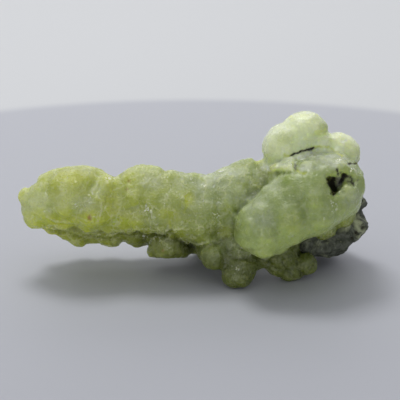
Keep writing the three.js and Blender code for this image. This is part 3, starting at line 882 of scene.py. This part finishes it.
def prehnite_material():
    graph = Graph("prehnite")
    deep, pale, clear, soil = (graph.attribute(name) for name in ("deep", "pale", "clear", "soil"))
    smooth = graph.math("MAXIMUM", pale, clear)
    cloud = graph.noise(5.0, 3.0)
    mottle = graph.noise(1.2, 4.0, 1.0)
    fibres = graph.noise(0.55, 3.0, place=graph.stretched(graph.warped(5.0, 3.0), (0.22, 1.0, 1.0)))
    veins = veining(graph, mottle, graph.math("MAXIMUM", deep, smooth))
    painted_glints = painted_glint_share(graph)
    color = body_color(graph, cloud, mottle, fibres)
    color = graph.mix(veins, color, VEIN)
    # Painted glints: white specks standing for caught light
    color = graph.mix(painted_glints, color, PAINTED_GLINT_WHITE)
    color = graph.mix(graph.math("MULTIPLY", graph.attribute("seam"), 0.55), color, BODY_YELLOW)
    color = graph.mix(graph.attribute("rust"), color, RUST)
    color = graph.mix(soil, color, DARK_FILL)
    graph.feed(graph.shader.inputs["Base Color"], color)
    facets = faceted_normal(graph, FACET_MM, graph.math("MULTIPLY_ADD", smooth, -0.14, 0.25))
    relief = graph.math("ADD", veins, graph.math("ADD", graph.noise(0.5, 3.0), fibres))
    relief = graph.math("MULTIPLY", relief, graph.math("MULTIPLY_ADD", smooth, -0.5, 1.0))
    graph.feed(graph.shader.inputs["Normal"], graph.bump(relief, FINE_RELIEF_MM, facets))
    rough = graph.ramp(graph.noise(2.0, 2.0), 0.4, 0.6, 0.12, 0.3)
    rough = graph.math("MULTIPLY_ADD", painted_glints, -0.12, rough)
    rough = graph.math("MAXIMUM", rough, graph.math("MULTIPLY", soil, 0.9))
    graph.feed(graph.shader.inputs["Roughness"], rough)
    graph.shader.inputs["IOR"].default_value = 1.62
    graph.shader.inputs["Sheen Weight"].default_value = 0.08
    graph.shader.inputs["Sheen Roughness"].default_value = 0.35
    graph.shader.inputs["Sheen Tint"].default_value = (0.85, 1.0, 0.5, 1)
    graph.shader.inputs["Subsurface Weight"].default_value = 1.0
    graph.shader.inputs["Subsurface Radius"].default_value = (1.0, 1.0, 0.35)
    graph.shader.inputs["Subsurface Scale"].default_value = 8.0 * MM
    return graph.material


# Colours of the rock
ROCK_DARK = (0.04, 0.047, 0.027)
ROCK_GREY = (0.12, 0.13, 0.10)
CRUST_PALE = (0.38, 0.41, 0.25)


def rock_material():
    graph = Graph("host_rock")
    crust, pit = graph.attribute("crust"), graph.attribute("pit")
    mottle = graph.noise(1.8, 5.0, 0.4)
    color = graph.mix(graph.ramp(mottle, 0.38, 0.66), ROCK_DARK, ROCK_GREY)
    speckle = graph.ramp(graph.noise(0.7, 2.0), 0.6, 0.7)
    color = graph.mix(graph.math("MULTIPLY", speckle, 0.35), color, CRUST_PALE)
    crusted = graph.math("MULTIPLY", crust, graph.ramp(graph.noise(1.1, 3.0), 0.34, 0.5))
    color = graph.mix(crusted, color, CRUST_PALE)
    color = graph.mix(pit, color, DARK_FILL)
    graph.feed(graph.shader.inputs["Base Color"], color)
    relief = graph.math("ADD", graph.noise(0.6, 4.0), graph.voronoi(1.0).outputs["Distance"])
    graph.feed(graph.shader.inputs["Normal"], graph.bump(relief, 0.3))
    graph.shader.inputs["Roughness"].default_value = 0.75
    return graph.material


FLOOR_GREY = (0.475, 0.485, 0.525)
FLOOR_PALE = (0.62, 0.63, 0.64)
# The middle of the grey, and how far from it the grey ends and the paler floor starts
FLOOR_MIDDLE = (0.0, -0.047, 0.0)
GREY_ENDS = 0.181
PALE_STARTS = 0.189


def floor_material():
    graph = Graph("floor")
    away = graph.node("VectorMath", {0: graph.place, 1: FLOOR_MIDDLE}, operation="DISTANCE").outputs["Value"]
    color = graph.mix(graph.ramp(away, GREY_ENDS, PALE_STARTS), FLOOR_GREY, FLOOR_PALE)
    graph.feed(graph.shader.inputs["Base Color"], color)
    graph.shader.inputs["Roughness"].default_value = 0.65
    return graph.material


# Stage

# Lights: name, place, width and height, watts
LIGHTS = [
    ("overhead", (0.0, 0.0, 0.55), (1.2, 1.0), 1.75),
    ("backdrop_glow", (0.0, 0.7, 0.3), (1.6, 0.55), 3.0),
    ("key", (-0.1, 0.2, 0.56), (0.2, 0.2), 1.3),
    ("front_fill", (-0.15, -0.8, 0.09), (0.8, 0.16), 1.6),
]
WORLD_COLOR = (0.88, 0.9, 1, 1)
WORLD_STRENGTH = 0.22


def make_stage():
    floor_size = 3.0
    bpy.ops.mesh.primitive_plane_add(size=floor_size, location=(0, 0, 0))
    floor = bpy.context.object
    floor.name = "floor"
    floor.data.materials.append(floor_material())


def make_light(name, place, size, energy):
    """A soft rectangular light that faces the specimen."""
    data = bpy.data.lights.new(name, "AREA")
    data.shape = "RECTANGLE"
    data.size, data.size_y = size
    data.energy = energy
    light = bpy.data.objects.new(name, data)
    light.location = place
    light.rotation_mode = "QUATERNION"
    light.rotation_quaternion = (Vector((0, 0, CAMERA_TARGET.z)) - light.location).to_track_quat("-Z", "Y")
    bpy.context.scene.collection.objects.link(light)


def make_lights():
    for light in LIGHTS:
        make_light(*light)
    world = bpy.data.worlds.new("world")
    world.use_nodes = True
    background = world.node_tree.nodes["Background"]
    background.inputs["Color"].default_value = WORLD_COLOR
    background.inputs["Strength"].default_value = WORLD_STRENGTH
    bpy.context.scene.world = world


prehnite = make_prehnite()
rock = make_rock(prehnite)
prehnite.data.materials.append(prehnite_material())
rock.data.materials.append(rock_material())
make_stage()
make_lights()
bpy.context.scene.view_settings.view_transform = "Standard"
